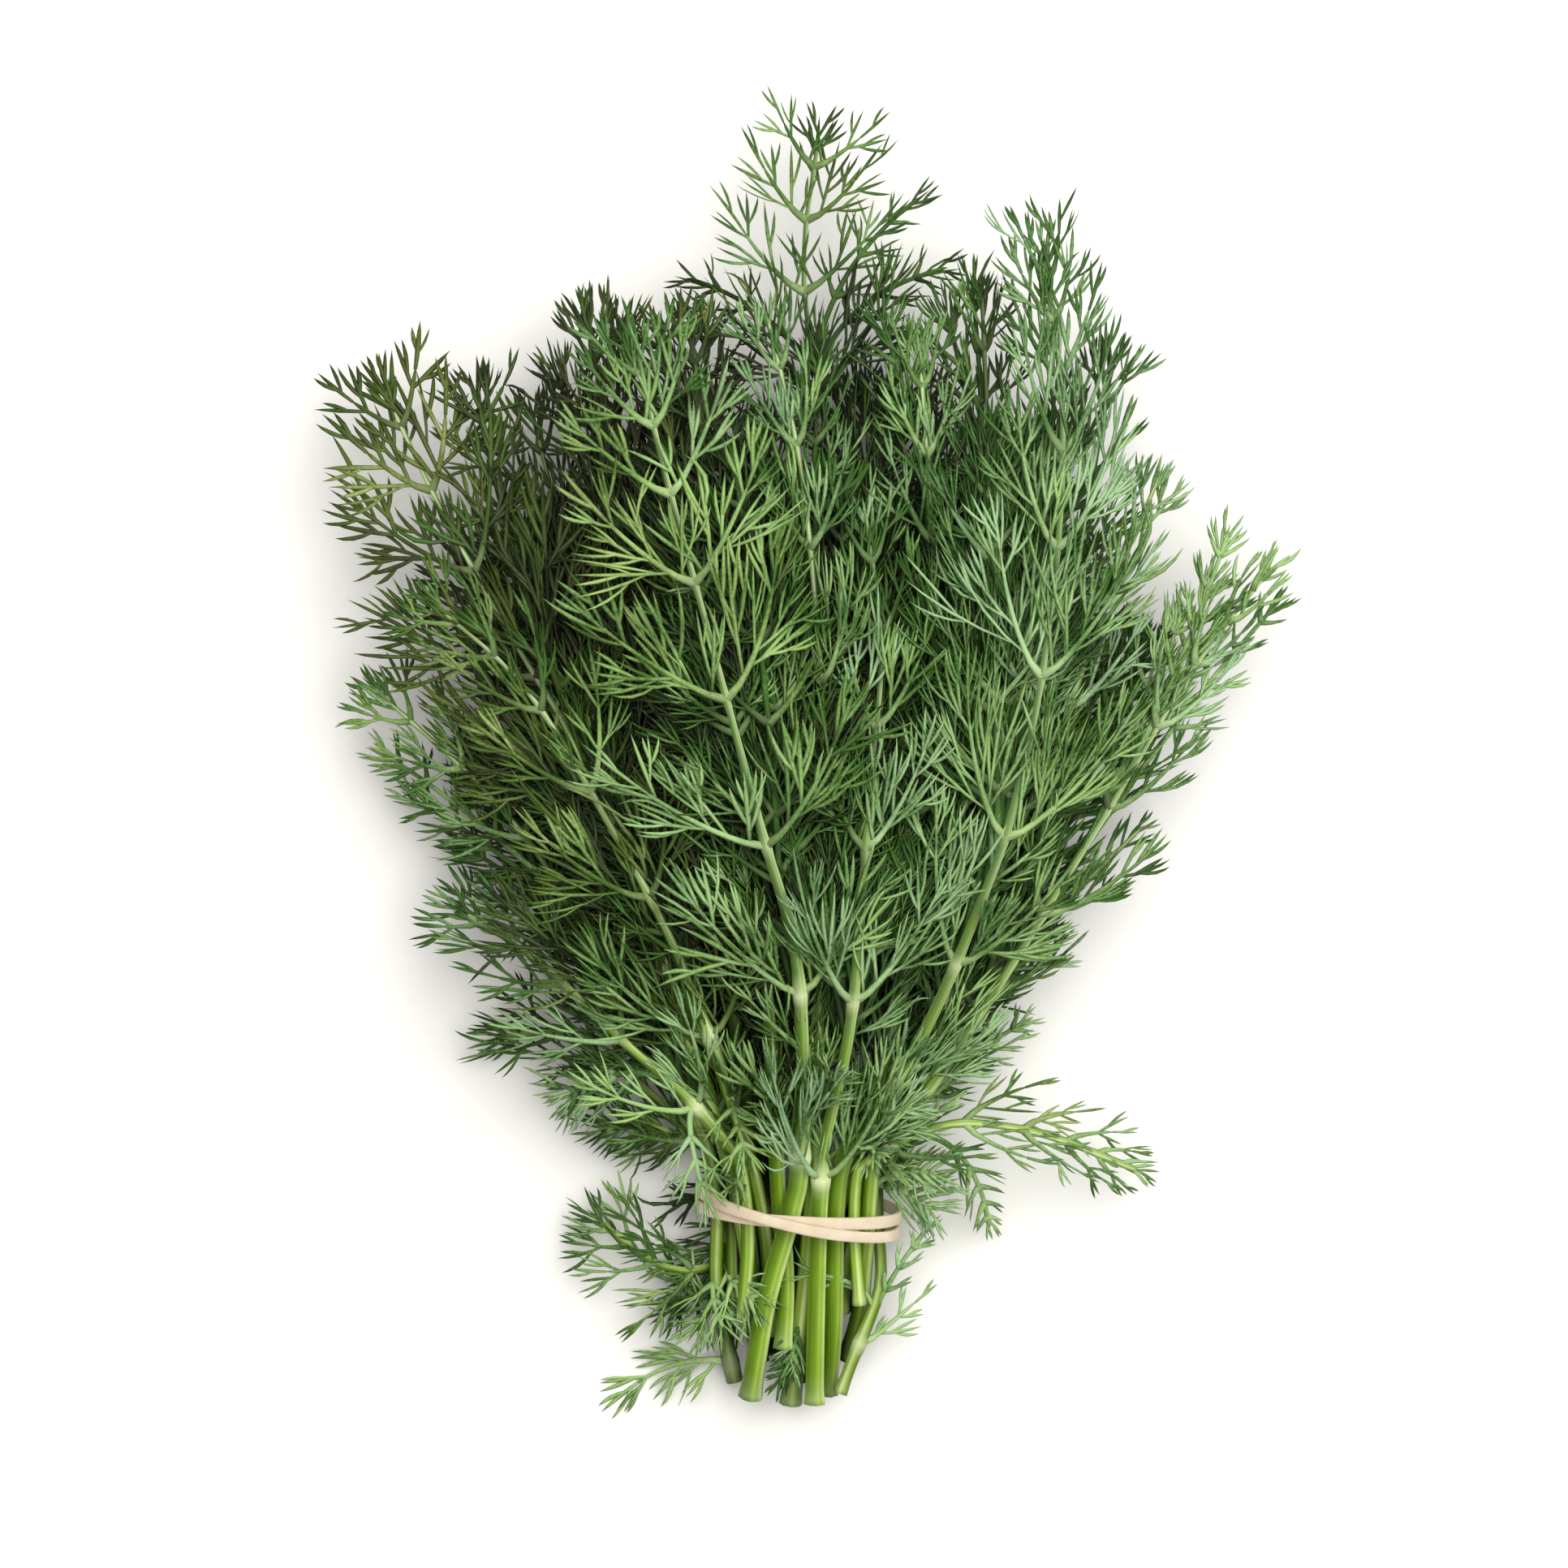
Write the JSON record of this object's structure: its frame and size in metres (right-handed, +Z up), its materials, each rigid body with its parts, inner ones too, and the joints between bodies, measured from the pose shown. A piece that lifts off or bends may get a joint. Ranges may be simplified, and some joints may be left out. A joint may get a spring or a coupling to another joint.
{
  "type": "dill bunch",
  "caption": "A bunch of fresh dill lying down: bare stems held by a rubber band wound twice, opening into a fan of feathery leaves with forked needle leaflets.",
  "frame": {"origin": "on the table, under the middle of the bunch's bounding box", "axes": "+Y along the stems from the cut ends to the tips, +Z up from the table, +X to the right of someone who looks down with the tips pointing away"},
  "size_m": [0.1824, 0.2488, 0.0595],
  "materials": {
    "dill": "fresh green leaf and stem, faintly waxy, paler at the nodes and cut ends",
    "band": "plain cream rubber, matte"
  },
  "bodies": {
    "root": {"rubber_band": "band", "leafy_stem_01": "dill", "leafy_stem_02": "dill", "leafy_stem_03": "dill", "leafy_stem_04": "dill", "leafy_stem_05": "dill", "leafy_stem_06": "dill", "leafy_stem_07": "dill", "leafy_stem_08": "dill", "leafy_stem_09": "dill", "leafy_stem_10": "dill", "leafy_stem_11": "dill", "leafy_stem_12": "dill", "leafy_stem_13": "dill", "leafy_stem_14": "dill", "leafy_stem_15": "dill", "leafy_stem_16": "dill", "leafy_stem_17": "dill", "leafy_stem_18": "dill", "leafy_stem_19": "dill", "leafy_stem_20": "dill", "leafy_stem_21": "dill", "leafy_stem_22": "dill", "leafy_stem_23": "dill"}
  },
  "joints": []
}
